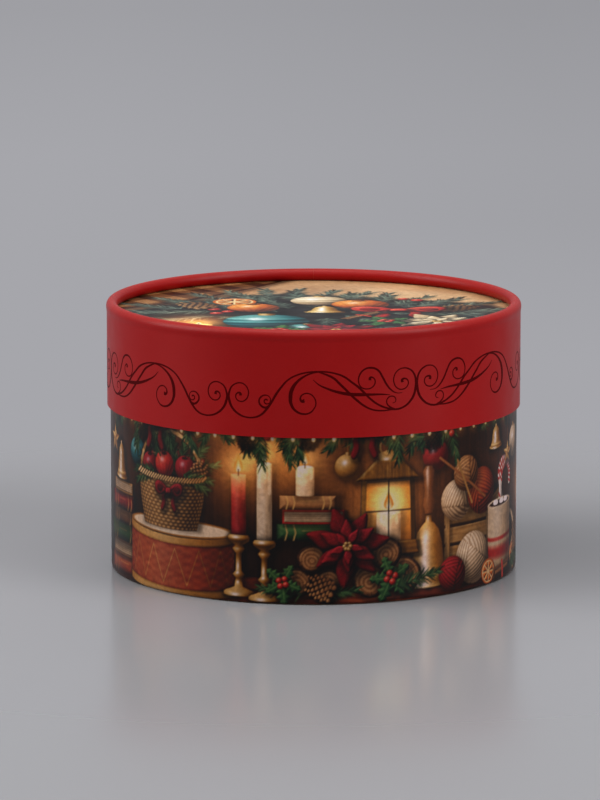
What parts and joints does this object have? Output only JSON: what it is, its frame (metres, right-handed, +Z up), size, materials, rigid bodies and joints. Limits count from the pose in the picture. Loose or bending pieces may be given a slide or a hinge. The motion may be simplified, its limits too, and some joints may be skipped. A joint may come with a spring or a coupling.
{
  "type": "cylindrical gift tube box",
  "caption": "Short round gift box of rolled board: printed base, red telescoping lid with a rolled rim round a recessed picture disc, lifts straight off.",
  "frame": {"origin": "centre of the ring that the base stands on, at table level", "axes": "+Z up along the box's axis; the front of the print faces -Y and the paper seams are at +Y; +X to the right seen from the front"},
  "size_m": [0.1508, 0.1508, 0.098],
  "materials": {
    "wall_board": "raw rolled board, matte",
    "disc_board": "grey board, matte",
    "printed_paper": "printed art paper, satin laminate",
    "red_paper": "deep red printed paper, matte laminate",
    "liner_paper": "uncoated off-white paper"
  },
  "bodies": {
    "base": {"base_board_tube": "wall_board", "base_printed_wrap": "printed_paper", "base_liner": "liner_paper", "base_disc": "disc_board", "base_disc_inside_facing": "liner_paper"},
    "lid": {"lid_board_tube": "wall_board", "lid_wrap": "red_paper", "lid_liner": "liner_paper", "lid_disc_inside_facing": "liner_paper", "lid_disc": "disc_board", "lid_top_print": "printed_paper"}
  },
  "joints": [
    {"name": "lid_lift", "type": "slide", "parent": "base", "child": "lid", "axis": [0, 0, 1], "range_m": [0, 0.12]}
  ]
}
